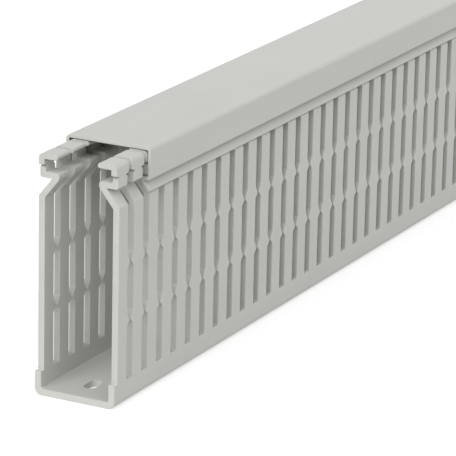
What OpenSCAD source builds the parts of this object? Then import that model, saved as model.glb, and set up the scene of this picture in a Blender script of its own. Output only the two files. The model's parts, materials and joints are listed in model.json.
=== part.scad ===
// Slotted wire duct: a U-shaped base channel with slotted side walls,
// and the push-on cover that closes it, both extruded in rigid plastic.
// X runs across the duct, Y along its length, Z up from the underside.
// The origin is the middle of the underside of the base.

/* [Duct] */
// Length that the duct and its cover are cut to
duct_l = 1000; // [200:50:1500]
// Outside width over the side walls
duct_w = 30; // [26:1:80]
// Height of the base from its underside to the tops of the fingers
base_h = 82.6; // [70:0.2:120]
// Thickness of the floor
floor_t = 2.4; // [1.6:0.1:3]
// Thickness of the side walls
wall_t = 2.3; // [1.6:0.1:2.6]
// Outside radius where the walls meet the floor
floor_r = 2.6; // [1:0.1:4]

/* [Slots] */
// Distance from one slot to the next
slot_pitch = 10; // [8:0.5:16]
// Width of a slot, between two fingers
slot_w = 4; // [3:0.25:5]
// Height of the closed strip under the slots
strip_h = 8.3; // [5:0.1:20]
// Gap left at the pinch points, where two fingers nearly meet
pinch_w = 0.9; // [0.6:0.1:2]
// Height of the lower row of pinch points
pinch_z = 28.4; // [25:0.1:35]
// Distance up to the next row of pinch points
pinch_step = 20; // [12:0.5:24]
// Height of the slope above a pinch point
pinch_rise = 3; // [1:0.1:4]
// Height of the slope below a pinch point
pinch_fall = 1.7; // [1:0.1:4]

/* [Finger heads] */
// Height from the bend in the wall to the tops of the fingers
bend_drop = 14.6; // [13:0.1:16]
// Distance that the wall leans inwards above its bend
lean_in = 5; // [4:0.1:6]
// Thickness of the leaning part
lean_t = 2.1; // [1.6:0.1:2.6]
// Height from the underside of the ledge to the tops of the fingers
ledge_drop = 8.4; // [7:0.1:9]
// Thickness of the ledge
ledge_t = 2; // [1.4:0.1:2.4]
// Distance of the head's outer face behind the outer face of the wall
head_inset = 0.5; // [0:0.1:1]
// Thickness of the upright web between ledge and top flange
web_t = 2.1; // [1.4:0.1:2.6]
// Width of the top flange and of the ledge, measured from the head's outer face
flange_w = 7.1; // [5:0.1:8]
// Thickness of the top flange
flange_t = 1.8; // [1.2:0.1:2]
// Radius of the outer top corner
head_r = 1.6; // [0.5:0.1:2]
// Radius of the outer and inner corners of the ledge
ledge_r = 0.9; // [0.3:0.1:1]
// Height of the break-off nick above the underside of the ledge
nick_rise = 4.1; // [3:0.1:5]
// Height of the nick at its mouth
nick_h = 1.1; // [0.4:0.1:1.4]
// Depth of the nick in each edge of a finger
nick_d = 1; // [0.5:0.1:1.5]
// Gap between the heads of two fingers above their nicks, where they are wider
head_gap = 2; // [0.6:0.1:4]

/* [Cover] */
// Thickness of the cover
cover_t = 1.1; // [0.8:0.1:1.4]
// Clearance between the cover and the fingers
fit_gap = 0.3; // [0.2:0.05:0.5]
// Outside radius of the cover's top edges
cover_r = 1.5; // [1.5:0.1:2.4]
// Outside radius where each flange turns in under the fingers
lip_r = 1; // [0.5:0.1:1.2]
// Distance that the cover is slid back from the near end of the base
cover_back = 20.7; // [0:0.1:60]
// Height of the skirt's lower edge above the bend in the wall
skirt_up = 1.3; // [1:0.1:2.5]

/* [Fixing holes] */
// Distance from one fixing hole to the next
hole_pitch = 25; // [20:5:100]
// Width of a fixing hole
hole_w = 4.4; // [3:0.1:6]
// Length of a fixing hole, end to end
hole_l = 8.6; // [7:0.1:12]

/* [Hidden] */
$fn = 72;
// Overlap that makes a cutter run clear of the face it cuts
over = 0.5;
// Height of wall that is drawn again under each head, so that the two fuse
head_root = 3;
PINCH_ROWS = 2;
duct_grey = [0.70, 0.71, 0.69];

// Levels and faces of the base, right-hand side
wall_x = duct_w / 2;
bend_z = base_h - bend_drop;
ledge_z = base_h - ledge_drop;
head_x = wall_x - head_inset;
tip_x = head_x - flange_w;
web_x = head_x - web_t;
// The leaning part runs from the bend to the underside of the ledge
crook_x = wall_x - lean_in;
lean_l = norm([lean_in, ledge_z - bend_z]);
lean_dir = [-lean_in, ledge_z - bend_z] / lean_l;
// Unit vector that points out of the leaning part, up and away from the duct
lean_out = [lean_dir[1], -lean_dir[0]];
// The outer face of the leaning part, moved outwards by d, at a height or at a width
function lean_x_at(z, d) = wall_x + (d - lean_out[1] * (z - bend_z)) / lean_out[0];
function lean_z_at(x, d) = bend_z + (d - lean_out[0] * (x - wall_x)) / lean_out[1];

// Levels and faces of the cover, right-hand side
cover_in_x = head_x + fit_gap;
cover_in_z = base_h + fit_gap;
cover_x = cover_in_x + cover_t;
cover_z = cover_in_z + cover_t;
lip_z = ledge_z - fit_gap;
lip_low_z = lip_z - cover_t;
skirt_z = bend_z + skirt_up;
skirt_out = fit_gap + cover_t;
skirt_edge = [lean_x_at(skirt_z, skirt_out), skirt_z];

slot_count = floor(duct_l / slot_pitch);
hole_count = floor(duct_l / hole_pitch);

// What lies between the square corner at [x, z] and a true arc of radius r.
// The arc bulges towards the corner from its centre on the [sx, sz] side.
module corner_arc(x, z, sx, sz, r) {
    translate([x, z])
        difference() {
            translate([sx > 0 ? -over : -r, sz > 0 ? -over : -r])
                square(r + over);
            translate([sx * r, sz * r])
                circle(r);
        }
}

// Cuts the inner edge of the top flange to a half circle
module flange_tip_round() {
    translate([tip_x, base_h - flange_t / 2])
        difference() {
            translate([-over, -flange_t])
                square([over + flange_t / 2, 2 * flange_t]);
            translate([flange_t / 2, 0])
                circle(d = flange_t);
        }
}

// One finger's bend, leaning part, ledge, web and top flange, on the right
module head_section() {
    difference() {
        polygon([
            [wall_x, bend_z],
            [crook_x, ledge_z],
            [head_x, ledge_z],
            [head_x, base_h],
            [tip_x, base_h],
            [tip_x, base_h - flange_t],
            [web_x, base_h - flange_t],
            [web_x, ledge_z + ledge_t],
            [tip_x, ledge_z + ledge_t],
            [tip_x, lean_z_at(tip_x, -lean_t)],
            [wall_x - wall_t, lean_z_at(wall_x - wall_t, -lean_t)],
            [wall_x - wall_t, bend_z - head_root],
            [wall_x, bend_z - head_root],
        ]);
        corner_arc(head_x, base_h, -1, -1, head_r);
        corner_arc(head_x, ledge_z, -1, 1, ledge_r);
        corner_arc(tip_x, ledge_z + ledge_t, 1, -1, ledge_r);
        flange_tip_round();
    }
}

// Cross-section of the base channel before it is slotted
module base_section() {
    difference() {
        translate([-wall_x, 0])
            square([duct_w, bend_z]);
        translate([wall_t - wall_x, floor_t])
            square([duct_w - 2 * wall_t, bend_z]);
        corner_arc(wall_x, 0, -1, 1, floor_r);
        corner_arc(-wall_x, 0, 1, 1, floor_r);
    }
    head_section();
    mirror([1, 0]) head_section();
}

// Half-widths of a slot against height, from the strip up through both pinch rows
function pinch_steps(z) = [
    [slot_w / 2, z - pinch_fall],
    [pinch_w / 2, z],
    [slot_w / 2, z + pinch_rise],
];
function slot_edge(rows) = concat(
    [[slot_w / 2, strip_h]],
    [for (i = [0 : 1 : rows - 1]) each pinch_steps(pinch_z + i * pinch_step)],
    [
        [slot_w / 2, ledge_z + nick_rise - nick_h / 2],
        [slot_w / 2 + nick_d, ledge_z + nick_rise],
        [head_gap / 2, ledge_z + nick_rise + nick_h / 2],
        [head_gap / 2, base_h + over],
    ]
);

// Outline of one slot, seen from the side; a slot at a cut end has no pinch points
module slot_outline(rows) {
    edge = slot_edge(rows);
    last = len(edge) - 1;
    polygon(concat(edge, [for (i = [last : -1 : 0]) [-edge[i][0], edge[i][1]]]));
}

// Cutter through both walls, for slot number k from the near end
module slot_cutter(k) {
    at_end = k == 0 || k * slot_pitch > duct_l - slot_w / 2;
    translate([-duct_w, k * slot_pitch - duct_l / 2, 0])
        rotate([90, 0, 90])
            linear_extrude(2 * duct_w)
                slot_outline(at_end ? 0 : PINCH_ROWS);
}

// Oblong fixing hole number k through the floor
module fixing_hole(k) {
    half_run = (hole_l - hole_w) / 2;
    translate([0, (k + 0.5) * hole_pitch - duct_l / 2, -over])
        linear_extrude(floor_t + 2 * over) {
            square([hole_w, 2 * half_run], center = true);
            for (side = [-1, 1])
                translate([0, side * half_run])
                    circle(d = hole_w);
        }
}

// Lays a cross-section along Y, from the given start
module along_duct(start) {
    translate([0, start + duct_l, 0])
        rotate([90, 0, 0])
            linear_extrude(duct_l)
                children();
}

module base_channel() {
    color(duct_grey)
        difference() {
            along_duct(-duct_l / 2) base_section();
            for (k = [0 : slot_count])
                slot_cutter(k);
            for (k = [0 : hole_count - 1])
                fixing_hole(k);
        }
}

// Right half of the cover's outline: top, flange, lip under the ledge and flared skirt
module cover_half_outline() {
    difference() {
        polygon([
            [0, cover_z],
            [cover_x, cover_z],
            [cover_x, lip_low_z],
            [lean_x_at(lip_low_z, skirt_out), lip_low_z],
            skirt_edge,
            skirt_edge - cover_t * lean_out,
            [lean_x_at(lip_z, fit_gap), lip_z],
            [0, lip_z],
        ]);
        corner_arc(cover_x, cover_z, -1, -1, cover_r);
        corner_arc(cover_x, lip_low_z, -1, 1, lip_r);
    }
}

// Cross-section of the cover: its outline less the hollow that the finger heads fill
module cover_section() {
    difference() {
        union() {
            cover_half_outline();
            mirror([1, 0]) cover_half_outline();
        }
        difference() {
            translate([-cover_in_x, lip_z])
                square([2 * cover_in_x, cover_in_z - lip_z]);
            for (side = [-1, 1])
                corner_arc(side * cover_in_x, cover_in_z, -side, -1, cover_r - cover_t);
        }
    }
}

module cover() {
    color(duct_grey)
        along_duct(cover_back - duct_l / 2) cover_section();
}

base_channel();
cover();
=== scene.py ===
# %% [markdown]
# # A slotted wire duct with its cover
#
# This is the grey plastic duct that carries the wires in a control cabinet. It has two pieces. The base is
# a U-shaped channel whose side walls are punched into fingers, and the cover slides or presses over the
# fingers' heads. Both are rigid PVC, pushed out of a die as one endless section and sawn to length.
#
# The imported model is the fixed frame: it says how long, wide and high the pieces are and where they lie.
# Everything below takes its place from it, so the first step is to load it and to keep its box.

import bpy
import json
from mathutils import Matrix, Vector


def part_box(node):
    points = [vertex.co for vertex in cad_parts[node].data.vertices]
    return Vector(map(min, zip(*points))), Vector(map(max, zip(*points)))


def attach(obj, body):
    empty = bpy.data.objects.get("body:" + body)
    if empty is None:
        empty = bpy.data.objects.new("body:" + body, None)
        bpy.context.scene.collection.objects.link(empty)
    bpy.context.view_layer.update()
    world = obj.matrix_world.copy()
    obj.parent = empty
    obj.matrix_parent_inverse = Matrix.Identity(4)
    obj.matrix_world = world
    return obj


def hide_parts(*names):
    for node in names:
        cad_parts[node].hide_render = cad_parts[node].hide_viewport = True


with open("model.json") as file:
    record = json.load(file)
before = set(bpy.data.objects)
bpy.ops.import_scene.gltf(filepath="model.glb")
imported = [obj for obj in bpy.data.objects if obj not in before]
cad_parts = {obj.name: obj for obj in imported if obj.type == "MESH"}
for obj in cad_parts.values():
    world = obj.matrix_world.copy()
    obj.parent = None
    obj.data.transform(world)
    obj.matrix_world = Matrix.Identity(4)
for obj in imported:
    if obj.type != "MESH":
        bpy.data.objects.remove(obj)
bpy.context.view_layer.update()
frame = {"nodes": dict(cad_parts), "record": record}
print("packed nodes:", sorted(frame["nodes"]))

# %% Other tools of this lesson
import json
import math

import bmesh
import bpy
from mathutils import Matrix, Vector
from mathutils.bvhtree import BVHTree

MM = 0.001  # sizes below are in millimetres, and Blender's unit is the metre

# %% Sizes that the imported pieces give, in millimetres
base_low, base_high = (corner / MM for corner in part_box("base_channel"))
cover_low, cover_high = (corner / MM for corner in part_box("cover"))
near_end = base_low.y
far_end = base_high.y
duct_l = far_end - near_end
wall_x = base_high.x
base_h = base_high.z
print(f"base {duct_l:.1f} long, {2 * wall_x:.1f} wide, {base_h:.1f} high")
print(f"cover {cover_high.y - cover_low.y:.1f} long, set back {cover_low.y - near_end:.1f}")

# %% [markdown]
# ## The camera
#
# The duct is shown from its near end, a little from the right and from above, with a long lens from about a
# metre away, so that the lines along the duct run together only slowly. The camera is placed by what it
# looks at: a point on the right wall, half way up. A small roll tips the picture by about a degree.

# %% Point the camera at the right wall
LENS = 264.0
VIEW_AZIMUTH = math.radians(27.4)
VIEW_ELEVATION = math.radians(17.36)
VIEW_ROLL = math.radians(1.26)
VIEW_DISTANCE = 1141.2 * MM
AIM_ALONG = 77.7
AIM_HEIGHT = 41.5
aim = Vector((wall_x, near_end + AIM_ALONG, AIM_HEIGHT)) * MM
away = Vector((
    math.sin(VIEW_AZIMUTH) * math.cos(VIEW_ELEVATION),
    -math.cos(VIEW_AZIMUTH) * math.cos(VIEW_ELEVATION),
    math.sin(VIEW_ELEVATION),
))

camera = bpy.data.objects.new("camera", bpy.data.cameras.new("camera"))
bpy.context.scene.collection.objects.link(camera)
camera.data.lens = LENS
camera.location = aim + away * VIEW_DISTANCE
roll = Matrix.Rotation(VIEW_ROLL, 3, "Z")
camera.rotation_euler = ((-away).to_track_quat("-Z", "Y").to_matrix() @ roll).to_euler()
bpy.context.scene.camera = camera
bpy.context.scene.view_settings.view_transform = "Standard"
print("camera at", [round(value, 4) for value in camera.location])

# %% [markdown]
# ## The section of one finger
#
# Seen from the end, each wall climbs straight up, leans inwards and folds back outwards into a hooked head:
# a ledge, a short upright web and a top flange. The cover's lips catch under the ledge. An extruder's die
# has no knife-sharp corners, so the outline is drawn as a few corners, each with its own radius, and a
# helper swaps every corner for an arc. That is how a draughtsman gives a section, and it keeps a radius
# in one place instead of in a cloud of points.

# %% Heights and widths of the finger's section
WALL_T = 2.3
FLOOR_T = 2.4
STRIP_H = 8.3
BEND_DROP = 14.6
LEDGE_DROP = 8.4
LEDGE_T = 2
LEAN_IN = 5
LEAN_T = 2.1
HEAD_INSET = 0.5
WEB_T = 2.1
FLANGE_W = 7.1
FLANGE_T = 1.8

BEND_Z = base_h - BEND_DROP
LEDGE_Z = base_h - LEDGE_DROP
LEDGE_TOP = LEDGE_Z + LEDGE_T
FLANGE_LOW = base_h - FLANGE_T
inner_x = wall_x - WALL_T
crook_x = wall_x - LEAN_IN
head_x = wall_x - HEAD_INSET
web_x = head_x - WEB_T
tip_x = head_x - FLANGE_W

lean_out = Vector((LEDGE_Z - BEND_Z, wall_x - crook_x)).normalized()


def lean_back_z(x):
    """Height of the leaning part's inner face at a width, LEAN_T behind its outer face."""
    return BEND_Z - (LEAN_T + lean_out.x * (x - wall_x)) / lean_out.y


tip_low_z = lean_back_z(tip_x)
shoulder_z = lean_back_z(inner_x)
print(f"finger: bend at {BEND_Z:.1f}, ledge at {LEDGE_Z:.1f}, top at {base_h:.1f}")

# %% Round the corners of an outline
ARC_STEP = math.radians(18)
SAME_POINT = 1e-4


def turn_between(start, end):
    """Signed angle from one flat direction to another, the short way round."""
    cross = start.x * end.y - start.y * end.x
    return math.atan2(cross, start.dot(end))


def round_corners(corners):
    """Swaps each corner (x, z, radius) for an arc in steps of at most ARC_STEP; a radius of 0 stays sharp."""
    outline = []
    for index, (x, z, radius) in enumerate(corners):
        corner = Vector((x, z))
        if not radius:
            outline.append(corner)
            continue
        before = (Vector(corners[index - 1][:2]) - corner).normalized()
        after = (Vector(corners[(index + 1) % len(corners)][:2]) - corner).normalized()
        half_angle = before.angle(after) / 2
        reach = radius / math.tan(half_angle)
        centre = corner + (before + after).normalized() * radius / math.sin(half_angle)
        start = corner + before * reach - centre
        turn = turn_between(start, corner + after * reach - centre)
        steps = max(2, math.ceil(abs(turn) / ARC_STEP))
        first = math.atan2(start.y, start.x)
        for step in range(steps + 1):
            angle = first + turn * step / steps
            outline.append(centre + radius * Vector((math.cos(angle), math.sin(angle))))
    return [p for n, p in enumerate(outline) if n == 0 or (p - outline[n - 1]).length > SAME_POINT]


quarter = round_corners([(0, 1, 0), (0, 0, 0.5), (1, 0, 0)])
print("a quarter round takes", len(quarter) - 3, "steps")

# %% [markdown]
# ## The slots between the fingers
#
# The extruded walls are plain. A press then punches a slot every 10 mm, and its tool leaves two rows of
# pinch points: places where neighbouring fingers nearly meet and hold a wire back. High on the web it also
# leaves a small nick in both edges of each finger, where the head can be snapped off, and above the nick
# the slot is narrower, so the heads are wider than the fingers that carry them. One function of the height
# says how far a finger's edge stands back from the middle of its slot, and every face that the punch made
# is built from it. The slots at the two sawn ends were cut plain, without pinch points.

# %% The punched edge as a function of height
SLOT_PITCH = 10
SLOT_HALF = 2
PINCH_HALF = 0.45
PINCH_HEIGHTS = (28.4, 48.4)
PINCH_FALL = 1.7
PINCH_RISE = 3
NICK_RISE = 4.1
NICK_Z = LEDGE_Z + NICK_RISE
NICK_HALF_H = 0.55
NICK_DEPTH = 1
HEAD_HALF = 1

nick_low = NICK_Z - NICK_HALF_H
nick_high = NICK_Z + NICK_HALF_H
slot_count = round(duct_l / SLOT_PITCH)

wall_levels = [STRIP_H]
for height in PINCH_HEIGHTS:
    wall_levels += [height - PINCH_FALL, height, height + PINCH_RISE]


def same_height(z, level):
    return math.isclose(z, level, abs_tol=0.01)


def half_slot(z, slot):
    """Distance from the middle of a slot to the finger beside it, at a height."""
    at_cut_end = slot in (0, slot_count)
    if any(same_height(z, level) for level in PINCH_HEIGHTS) and not at_cut_end:
        return PINCH_HALF
    if same_height(z, NICK_Z):
        return SLOT_HALF + NICK_DEPTH
    return HEAD_HALF if z > NICK_Z else SLOT_HALF


def slot_y(slot):
    return near_end + slot * SLOT_PITCH


print(f"{slot_count} fingers a side, wall levels {wall_levels}")

# %% [markdown]
# ## One mesh with shared corners
#
# A cube or a boolean would give this shape quickly, but its edges would be hard to bevel. Here the base is
# one closed skin of faces that share their corners, which is what Blender's Bevel needs to run cleanly
# along every edge. A small helper keeps the corners: asking twice for the same place gives the same
# corner back, so neighbouring faces join by themselves. Each face also says which finish it has: the
# smooth skin from the die, a face that the press sheared, or a face that the saw left.

# %% A skin that shares its corners
SKIN, PUNCHED, SAWN, EDGE = range(4)


class Skin:
    """Faces of one closed piece, given in millimetres, that share every corner they meet at."""

    def __init__(self):
        self.corners = []
        self.number = {}
        self.faces = []
        self.finishes = []

    def corner(self, place):
        key = tuple(round(value, 4) for value in place)
        if key not in self.number:
            self.number[key] = len(self.corners)
            self.corners.append([value * MM for value in place])
        return self.number[key]

    def face(self, places, finish=SKIN):
        loop = [self.corner(place) for place in places]
        self.faces.append([n for i, n in enumerate(loop) if n != loop[i - 1]])
        self.finishes.append(finish)

    def build(self, name):
        """Makes the Blender object, turns all faces outwards and says whether the skin is closed."""
        mesh = bpy.data.meshes.new(name)
        mesh.from_pydata(self.corners, [], self.faces)
        mesh.polygons.foreach_set("material_index", self.finishes)
        shape = bmesh.new()
        shape.from_mesh(mesh)
        bmesh.ops.recalc_face_normals(shape, faces=shape.faces)
        open_edges = sum(1 for edge in shape.edges if len(edge.link_faces) != 2)
        print(f"{name}: {len(shape.faces)} faces, {open_edges} open edges")
        shape.to_mesh(mesh)
        shape.free()
        mesh.shade_smooth()
        piece = bpy.data.objects.new(name, mesh)
        bpy.context.scene.collection.objects.link(piece)
        return piece


base_skin = Skin()

# %% [markdown]
# ## The floor and the strips under the slots
#
# Below the slots the walls and the floor are unbroken, so this part of the skin is the section laid along
# the duct. It is cut into short lengths only where a finger starts or ends above it, so that the fingers'
# corners and the strip's corners are the same ones.

# %% Where the lengths begin and end
stations = [near_end]
for slot in range(slot_count):
    stations.append(slot_y(slot) + SLOT_HALF)
    stations.append(slot_y(slot + 1) - SLOT_HALF)
stations.append(far_end)
lengths = list(zip(stations[:-1], stations[1:]))
print(len(lengths), "lengths of strip")

# %% Outside and inside of the channel, from the strip's top down to the floor
FLOOR_R = 2.6
INSIDE_R = 0.5

outside = round_corners([(wall_x, STRIP_H, 0), (wall_x, 0, FLOOR_R), (0, 0, 0)])[:-1]
inside = round_corners([(inner_x, STRIP_H, 0), (inner_x, FLOOR_T, INSIDE_R), (0, FLOOR_T, 0)])[:-1]


def lay_along(skin, outline, spans, side, finish=SKIN):
    """Lays an open outline along the duct, one row of faces between neighbouring points, on one side."""
    for (xa, za), (xb, zb) in zip(outline[:-1], outline[1:]):
        for ya, yb in spans:
            places = [(side * xa, ya, za), (side * xa, yb, za), (side * xb, yb, zb), (side * xb, ya, zb)]
            skin.face(places, finish)


for side in (-1, 1):
    lay_along(base_skin, outside, lengths, side)
    lay_along(base_skin, inside, lengths, side)
    strip_top = [(inner_x, STRIP_H), (wall_x, STRIP_H)]
    lay_along(base_skin, strip_top, lengths[::2], side, PUNCHED)
print("slot bottoms:", len(lengths[::2]), "a side")

# %% The sawn ends of the channel
half_end = list(outside) + [Vector((0, 0)), Vector((0, FLOOR_T))] + list(reversed(inside))
for y in (near_end, far_end):
    for side in (-1, 1):
        base_skin.face([(side * x, y, z) for x, z in half_end], SAWN)

# %% [markdown]
# ## The fixing holes
#
# A row of oblong holes runs down the middle of the floor, one every 25 mm, for M4 screws or rivets. The
# floor around each hole is two faces, left and right of the middle line, whose boundary runs in along
# the middle, round half of the hole and out again. That needs no boolean, and the hole's rim is a clean
# loop that the bevel can follow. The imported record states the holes' width and length.

# %% The size and the places of the holes
hole_mount = next(m for m in frame["record"]["mounts"] if m["name"] == "near_end_holes")
hole_r = hole_mount["dims"]["hole_r_mm"]
hole_l = hole_mount["dims"]["slot_length_mm"]
hole_pitch = hole_mount["dims"]["spacing_y_mm"]
first_hole = hole_mount["pos_m"][1] / MM - hole_pitch / 2
hole_ys = [first_hole + n * hole_pitch for n in range(round(duct_l / hole_pitch))]
halfway = [hole_y - hole_pitch / 2 for hole_y in hole_ys]
borders = [min(stations, key=lambda y: abs(y - between)) for between in halfway] + [far_end]
print(len(hole_ys), f"holes of {2 * hole_r:.1f} by {hole_l:.1f}")

# %% The floor, inside and underneath, around each hole
HOLE_STEPS = 24


def half_hole(hole_y, side):
    """One side of an oblong hole's rim, from its near tip to its far tip."""
    run = hole_l / 2 - hole_r
    near = [-math.pi / 2 + math.pi * n / HOLE_STEPS for n in range(HOLE_STEPS // 2 + 1)]
    far = [math.pi * n / HOLE_STEPS for n in range(HOLE_STEPS // 2 + 1)]
    rim = [(hole_r * math.cos(a), hole_y - run + hole_r * math.sin(a)) for a in near]
    rim += [(hole_r * math.cos(a), hole_y + run + hole_r * math.sin(a)) for a in far]
    return [(side * x, y) for x, y in rim]


for hole_y, ya, yb in zip(hole_ys, borders[:-1], borders[1:]):
    between = [y for y in stations if ya <= y <= yb]
    for side in (-1, 1):
        rim = half_hole(hole_y, side)
        for edge_x, z in ((outside[-1].x, 0), (inside[-1].x, FLOOR_T)):
            floor_edge = [(side * edge_x, y, z) for y in reversed(between)]
            base_skin.face([(0, ya, z)] + [(x, y, z) for x, y in rim] + [(0, yb, z)] + floor_edge)
        for (xa, ra), (xb, rb) in zip(rim[:-1], rim[1:]):
            base_skin.face([(xa, ra, 0), (xb, rb, 0), (xb, rb, FLOOR_T), (xa, ra, FLOOR_T)], PUNCHED)

# %% [markdown]
# ## The fingers
#
# A finger is its section, given a width. Its long faces, from the outer wall over the head and back down
# the inner wall, are the die's smooth skin. Its two side faces are what the punch sheared: quads between
# the wall levels and at the nick, and one many-sided face each for the two flat stretches in between. The
# same few lines make all the fingers on both sides, and the side only changes the sign of x.

# %% The outline of a finger, in stretches between the punched levels
BEND_R = 1
CROOK_R = 0.2
LEDGE_R = 0.9
HEAD_R = 1.6
FILLET_R = 0.3
TOE_R = 1.5

low_outside = round_corners([
    (wall_x, wall_levels[-1], 0),
    (wall_x, BEND_Z, BEND_R),
    (crook_x, LEDGE_Z, CROOK_R),
    (head_x, LEDGE_Z, LEDGE_R),
    (head_x, nick_low, 0),
])
low_inside = round_corners([
    (web_x, nick_low, 0),
    (web_x, LEDGE_TOP, FILLET_R),
    (tip_x, LEDGE_TOP, LEDGE_R),
    (tip_x, tip_low_z, TOE_R),
    (inner_x, shoulder_z, BEND_R),
    (inner_x, wall_levels[-1], 0),
])
head_top = round_corners([
    (head_x, nick_high, 0),
    (head_x, base_h, HEAD_R),
    (tip_x, base_h, FLANGE_T / 2),
    (tip_x, FLANGE_LOW, FLANGE_T / 2),
    (web_x, FLANGE_LOW, FILLET_R),
    (web_x, nick_high, 0),
])
wall_outside = [Vector((wall_x, z)) for z in wall_levels[:-1]]
wall_inside = [Vector((inner_x, z)) for z in reversed(wall_levels[:-1])]
nick_outside = Vector((head_x, NICK_Z))
nick_inside = Vector((web_x, NICK_Z))
finger_outline = (wall_outside + low_outside + [nick_outside] + head_top
                  + [nick_inside] + low_inside + wall_inside)
print("a finger's outline has", len(finger_outline), "points")

# %% Its side faces, as lists of outline points
side_faces = []
for z_low, z_high in zip(wall_levels[:-1], wall_levels[1:]):
    corners = ((wall_x, z_low), (wall_x, z_high), (inner_x, z_high), (inner_x, z_low))
    side_faces.append([Vector(corner) for corner in corners])
side_faces.append(low_outside + low_inside)
side_faces.append([low_outside[-1], nick_outside, nick_inside, low_inside[0]])
side_faces.append([nick_outside, head_top[0], head_top[-1], nick_inside])
side_faces.append(head_top)


# %% Every finger on both walls
def add_finger(skin, slot, side):
    """The finger between one slot and the next, on the right (side 1) or on the left (side -1)."""
    def near(point):
        return (side * point.x, slot_y(slot) + half_slot(point.y, slot), point.y)

    def far(point):
        return (side * point.x, slot_y(slot + 1) - half_slot(point.y, slot + 1), point.y)

    for a, b in zip(finger_outline[:-1], finger_outline[1:]):
        skin.face([near(a), far(a), far(b), near(b)])
    for points in side_faces:
        skin.face([near(p) for p in points], PUNCHED)
        skin.face([far(p) for p in points], PUNCHED)


for slot in range(slot_count):
    for side in (-1, 1):
        add_finger(base_skin, slot, side)
base = base_skin.build("duct_base")

# %% [markdown]
# ## The cover
#
# The cover is a thin channel upside down: a flat top, two sides, a lip that turns in under the fingers'
# ledges and a skirt that flares out along the leaning part of the fingers. It has no punching, so its skin
# is just its closed section laid along its length, with a sawn face at each end.

# %% The cover's section, one half from the middle of the top, round the outside and back
COVER_T = 1.1
FIT_GAP = 0.3
COVER_R = 1.5
LIP_R = 1
SKIRT_UP = 1.3
SKIRT_TIP_R = 0.3

cover_x = cover_high.x
cover_z = cover_high.z
lip_z = LEDGE_Z - FIT_GAP
lip_low_z = lip_z - COVER_T
skirt_z = BEND_Z + SKIRT_UP


def lean_front_x(z, gap):
    """Width at a height of the line that lies a gap outside the leaning part of the fingers."""
    return wall_x + (gap - lean_out.y * (z - BEND_Z)) / lean_out.x


skirt_edge = Vector((lean_front_x(skirt_z, FIT_GAP + COVER_T), skirt_z))
skirt_back = skirt_edge - COVER_T * lean_out
cover_half = round_corners([
    (0, cover_z, 0),
    (cover_x, cover_z, COVER_R),
    (cover_x, lip_low_z, LIP_R),
    (lean_front_x(lip_low_z, FIT_GAP + COVER_T), lip_low_z, FILLET_R),
    (skirt_edge.x, skirt_edge.y, SKIRT_TIP_R),
    (skirt_back.x, skirt_back.y, SKIRT_TIP_R),
    (lean_front_x(lip_z, FIT_GAP), lip_z, FILLET_R),
    (cover_x - COVER_T, lip_z, FILLET_R),
    (cover_x - COVER_T, cover_z - COVER_T, COVER_R - COVER_T),
    (0, cover_z - COVER_T, 0),
])
print("half of the cover's section has", len(cover_half), "points")

# %% Lay it along and close its ends
cover_skin = Skin()
for side in (-1, 1):
    lay_along(cover_skin, cover_half, [(cover_low.y, cover_high.y)], side)
    for y in (cover_low.y, cover_high.y):
        cover_skin.face([(side * point.x, y, point.y) for point in cover_half], SAWN)
cover = cover_skin.build("duct_cover")

# %% [markdown]
# ## Soft edges
#
# No edge of a moulded or punched part is a perfect line: it has a tiny round that catches the light, and
# without it a model looks like paper. A Bevel modifier rounds every edge sharper than the arcs' own steps.
# Its faces get a finish of their own, painted a little paler than the grey as a painted highlight along every
# edge. Weighted normals then keep the flat faces truly flat in the shading and leave the turning to the bevel
# and the arcs.

# %% Bevel and weighted normals
EDGE_ROUND = 0.1 * MM
EDGE_ANGLE = math.radians(20)


def soften(piece):
    bevel = piece.modifiers.new("edge_round", "BEVEL")
    bevel.width = EDGE_ROUND
    bevel.segments = 1
    bevel.limit_method = "ANGLE"
    bevel.angle_limit = EDGE_ANGLE
    bevel.miter_outer = "MITER_SHARP"
    # The bevel faces take the edge finish, which is painted paler than the grey as a painted highlight.
    bevel.material = EDGE
    bevel.use_clamp_overlap = True
    weighted = piece.modifiers.new("flat_faces", "WEIGHTED_NORMAL")
    weighted.keep_sharp = True
    weighted.weight = 50


for piece in (base, cover):
    soften(piece)

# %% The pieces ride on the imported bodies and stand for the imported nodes
for piece, node, body, slot_name in (
    (base, "base_channel", "base", "base_plastic"),
    (cover, "cover", "cover", "cover_plastic"),
):
    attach(piece, body)
    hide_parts(node)
print("pieces:", base.name, cover.name)

# %% [markdown]
# ## Checking the skins against the imported solids
#
# A skin whose points were given one by one could drift away from the real part. So every corner of the
# finished meshes is measured against the imported piece it stands for. Only the small rounds may differ.

# %% Measure the distance to the imported pieces
def farthest_from(piece, node):
    """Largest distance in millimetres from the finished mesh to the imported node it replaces."""
    packed = bmesh.new()
    packed.from_mesh(frame["nodes"][node].data)
    tree = BVHTree.FromBMesh(packed)
    packed.free()
    finished = piece.evaluated_get(bpy.context.evaluated_depsgraph_get()).to_mesh()
    finished.calc_loop_triangles()
    worst = max(tree.find_nearest(vertex.co)[3] for vertex in finished.vertices)
    triangles = len(finished.loop_triangles)
    print(f"{piece.name}: {triangles} triangles, at most {worst / MM:.2f} mm from the packed piece")


farthest_from(base, "base_channel")
farthest_from(cover, "cover")

# %% [markdown]
# ## Grey PVC
#
# Both pieces are the same light grey rigid PVC with a satin surface. Close up it is not one flat grey: the
# die leaves fine lines along the length, the pigment is a little cloudy, and a few specks sit in it. The
# faces that the press sheared are duller, with drag lines through the thickness, and the sawn ends are
# paler and rougher, with the marks of the teeth. So there are four finishes that share one grey, and each
# is made of noise in the piece's own coordinates, so that it stays in place when the cover slides.

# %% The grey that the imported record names
plastics = {material["slot"]: material["base_color"][:3] for material in frame["record"]["materials"]}
print("greys:", plastics)


# %% A helper that wires up one finish
PVC_IOR = 1.52


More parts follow.
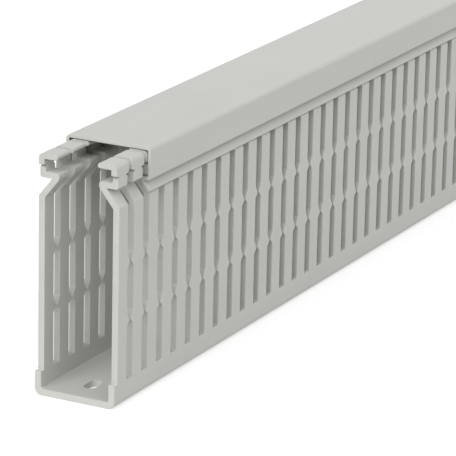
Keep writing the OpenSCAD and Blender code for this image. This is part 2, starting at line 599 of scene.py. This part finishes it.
class Finish:
    """A material on a Principled shader, with short calls for the nodes that this plastic needs."""

    def __init__(self, name):
        self.material = bpy.data.materials.new(name)
        self.material.use_nodes = True
        self.nodes = self.material.node_tree.nodes
        self.links = self.material.node_tree.links
        self.shader = self.nodes["Principled BSDF"]
        self.shader.inputs["IOR"].default_value = PVC_IOR
        self.place = self.nodes.new("ShaderNodeTexCoord").outputs["Object"]

    def link(self, source, target):
        self.links.new(source, target)

    def noise(self, grains, detail=3):
        """Noise with so many grains a metre along x, y and z. Few along y gives lines along the duct."""
        stretch = self.nodes.new("ShaderNodeMapping")
        stretch.inputs["Scale"].default_value = grains
        self.link(self.place, stretch.inputs["Vector"])
        noise = self.nodes.new("ShaderNodeTexNoise")
        noise.inputs["Scale"].default_value = 1
        noise.inputs["Detail"].default_value = detail
        self.link(stretch.outputs["Vector"], noise.inputs["Vector"])
        return noise.outputs["Fac"]

    def spread(self, value, low, high):
        """Maps the middle of a noise's range to the range from low to high."""
        span = self.nodes.new("ShaderNodeMapRange")
        span.inputs["From Min"].default_value = 0.3
        span.inputs["From Max"].default_value = 0.7
        span.inputs["To Min"].default_value = low
        span.inputs["To Max"].default_value = high
        self.link(value, span.inputs["Value"])
        return span.outputs["Result"]

    def times(self, first, second):
        """Product of two values."""
        product = self.nodes.new("ShaderNodeMath")
        product.operation = "MULTIPLY"
        self.link(first, product.inputs[0])
        self.link(second, product.inputs[1])
        return product.outputs["Value"]

    def tint(self, grey, strength):
        """The grey, lightened or darkened by a varying strength around 1."""
        scale = self.nodes.new("ShaderNodeVectorMath")
        scale.operation = "SCALE"
        scale.inputs[0].default_value = grey
        self.link(strength, scale.inputs["Scale"])
        self.link(scale.outputs["Vector"], self.shader.inputs["Base Color"])

    def relief(self, height, depth):
        """Bump from a height between 0 and 1, whose full depth is given in metres."""
        bump = self.nodes.new("ShaderNodeBump")
        bump.inputs["Strength"].default_value = 1
        bump.inputs["Distance"].default_value = depth
        self.link(height, bump.inputs["Height"])
        self.link(bump.outputs["Normal"], self.shader.inputs["Normal"])
        return self.material


# %% The skin from the die
def extruded_skin(name, grey):
    finish = Finish(name)
    die_lines = finish.noise((1800, 3, 1800), detail=4)
    clouds = finish.noise((60, 18, 60))
    specks = finish.noise((900, 900, 900), detail=1)
    tone = finish.times(finish.spread(die_lines, 0.985, 1.015), finish.spread(clouds, 0.98, 1.02))
    finish.tint(grey, tone)
    finish.link(finish.spread(die_lines, 0.40, 0.50), finish.shader.inputs["Roughness"])
    height = finish.times(finish.spread(die_lines, 0.6, 1), finish.spread(specks, 0.8, 1))
    return finish.relief(height, 0.012 * MM)


# %% Faces that the press sheared
def punched_face(name, grey):
    finish = Finish(name)
    drag_lines = finish.noise((120, 2600, 900), detail=4)
    clouds = finish.noise((200, 200, 60))
    tone = finish.times(finish.spread(drag_lines, 0.97, 1.03), finish.spread(clouds, 0.98, 1.03))
    finish.tint(grey, tone)
    finish.link(finish.spread(drag_lines, 0.48, 0.62), finish.shader.inputs["Roughness"])
    return finish.relief(drag_lines, 0.02 * MM)


# %% Sawn ends
def sawn_face(name, grey):
    finish = Finish(name)
    tooth_marks = finish.noise((90, 400, 2400), detail=4)
    fuzz = finish.noise((2500, 2500, 2500), detail=2)
    paler = [channel * 1.04 for channel in grey]
    tone = finish.times(finish.spread(tooth_marks, 0.96, 1.04), finish.spread(fuzz, 0.98, 1.03))
    finish.tint(paler, tone)
    finish.link(finish.spread(tooth_marks, 0.52, 0.68), finish.shader.inputs["Roughness"])
    height = finish.times(finish.spread(tooth_marks, 0.5, 1), finish.spread(fuzz, 0.7, 1))
    return finish.relief(height, 0.03 * MM)


# %% Edges painted paler, as a painted highlight
def painted_edge_highlight(name, grey):
    finish = Finish(name)
    edge_mottle = finish.noise((500, 120, 500), detail=3)
    # The edges are painted 6% paler than the grey, a painted highlight along every edge, with a random mottle
    # in its tone.
    paler = [channel * 1.06 for channel in grey]
    finish.tint(paler, finish.spread(edge_mottle, 0.95, 1.05))
    finish.link(finish.spread(edge_mottle, 0.36, 0.5), finish.shader.inputs["Roughness"])
    return finish.relief(edge_mottle, 0.01 * MM)


# %% Put the four finishes on each piece, in the order of SKIN, PUNCHED, SAWN and EDGE
FINISHES = (
    (extruded_skin, "skin"),
    (punched_face, "punched"),
    (sawn_face, "sawn"),
    (painted_edge_highlight, "edge"),
)
for piece, slot_name in ((base, "base_plastic"), (cover, "cover_plastic")):
    grey = plastics[slot_name]
    for make, word in FINISHES:
        piece.data.materials.append(make(f"{piece.name}_{word}", grey))
    print(piece.name, "finishes:", [material.name for material in piece.data.materials])

# %% [markdown]
# ## Floor and light
#
# The duct lies on a plain pale floor in a plain pale room. The floor and the room look white to the camera
# and in reflections, through the Light Path node, but they light the object only as a pale studio would,
# so that the grey renders as grey. The floor still takes the object's shadow.
#
# Two broad lamps do the rest. The stronger one stands in front and above, so that tops and sawn ends are
# lightest, and the weaker one fills the long right-hand wall. Both are suns, because a sun has no place: it
# lights a duct of any length evenly, and it can't get between the duct and a camera that goes round it.

# %% The floor
FLOOR_SIZE = 12
FLOOR_LIT = 0.7
FLOOR_SHOWN = 0.5
FLOOR_GLOW = 0.55
floor_mesh = bpy.data.meshes.new("floor")
half = FLOOR_SIZE / 2
floor_corners = [(-half, -half, 0), (half, -half, 0), (half, half, 0), (-half, half, 0)]
floor_mesh.from_pydata(floor_corners, [], [(0, 1, 2, 3)])
floor = bpy.data.objects.new("floor", floor_mesh)
bpy.context.scene.collection.objects.link(floor)


def seen_directly(nodes, links):
    """1 for rays that show the surface to the camera, in a reflection or through glass, and 0 for light."""
    path = nodes.new("ShaderNodeLightPath")
    either = nodes.new("ShaderNodeMath")
    either.operation = "MAXIMUM"
    links.new(path.outputs["Is Camera Ray"], either.inputs[0])
    links.new(path.outputs["Is Glossy Ray"], either.inputs[1])
    any_of_them = nodes.new("ShaderNodeMath")
    any_of_them.operation = "MAXIMUM"
    links.new(either.outputs["Value"], any_of_them.inputs[0])
    links.new(path.outputs["Is Transmission Ray"], any_of_them.inputs[1])
    return any_of_them.outputs["Value"]


def pale_floor():
    material = bpy.data.materials.new("pale_floor")
    material.use_nodes = True
    nodes = material.node_tree.nodes
    links = material.node_tree.links
    nodes.clear()
    lit = nodes.new("ShaderNodeBsdfDiffuse")
    lit.inputs["Color"].default_value = (FLOOR_LIT, FLOOR_LIT, FLOOR_LIT, 1)
    shown = nodes.new("ShaderNodeBsdfDiffuse")
    shown.inputs["Color"].default_value = (FLOOR_SHOWN, FLOOR_SHOWN, FLOOR_SHOWN, 1)
    glow = nodes.new("ShaderNodeEmission")
    glow.inputs["Strength"].default_value = FLOOR_GLOW
    white = nodes.new("ShaderNodeAddShader")
    links.new(shown.outputs["BSDF"], white.inputs[0])
    links.new(glow.outputs["Emission"], white.inputs[1])
    choose = nodes.new("ShaderNodeMixShader")
    links.new(seen_directly(nodes, links), choose.inputs["Fac"])
    links.new(lit.outputs["BSDF"], choose.inputs[1])
    links.new(white.outputs["Shader"], choose.inputs[2])
    out = nodes.new("ShaderNodeOutputMaterial")
    links.new(choose.outputs["Shader"], out.inputs["Surface"])
    return material


floor.data.materials.append(pale_floor())

# %% The room
ROOM_LIGHT = 0.45
SHOWN_LIGHT = 1
world = bpy.data.worlds.new("room")
bpy.context.scene.world = world
world.use_nodes = True
room_nodes = world.node_tree.nodes
room_links = world.node_tree.links
room_nodes.clear()
room = room_nodes.new("ShaderNodeBackground")
room.inputs["Strength"].default_value = ROOM_LIGHT
room_white = room_nodes.new("ShaderNodeBackground")
room_white.inputs["Strength"].default_value = SHOWN_LIGHT
for background in (room, room_white):
    background.inputs["Color"].default_value = (1, 1, 1, 1)
room_choice = room_nodes.new("ShaderNodeMixShader")
room_links.new(seen_directly(room_nodes, room_links), room_choice.inputs["Fac"])
room_links.new(room.outputs["Background"], room_choice.inputs[1])
room_links.new(room_white.outputs["Background"], room_choice.inputs[2])
room_out = room_nodes.new("ShaderNodeOutputWorld")
room_links.new(room_choice.outputs["Shader"], room_out.inputs["Surface"])


# %% The lamps
def soft_sun(name, azimuth, elevation, strength, softness):
    """A broad, even lamp from a direction, with azimuth and elevation as for the camera, in degrees."""
    lamp = bpy.data.objects.new(name, bpy.data.lights.new(name, "SUN"))
    bpy.context.scene.collection.objects.link(lamp)
    lamp.data.energy = strength
    lamp.data.angle = math.radians(softness)
    a = math.radians(azimuth)
    e = math.radians(elevation)
    source = Vector((math.sin(a) * math.cos(e), -math.cos(a) * math.cos(e), math.sin(e)))
    lamp.rotation_euler = (-source).to_track_quat("-Z", "Y").to_euler()
    return lamp


soft_sun("front_and_above", 0, 42, 2.4, 50)
soft_sun("from_the_right", 75, 35, 0.9, 60)
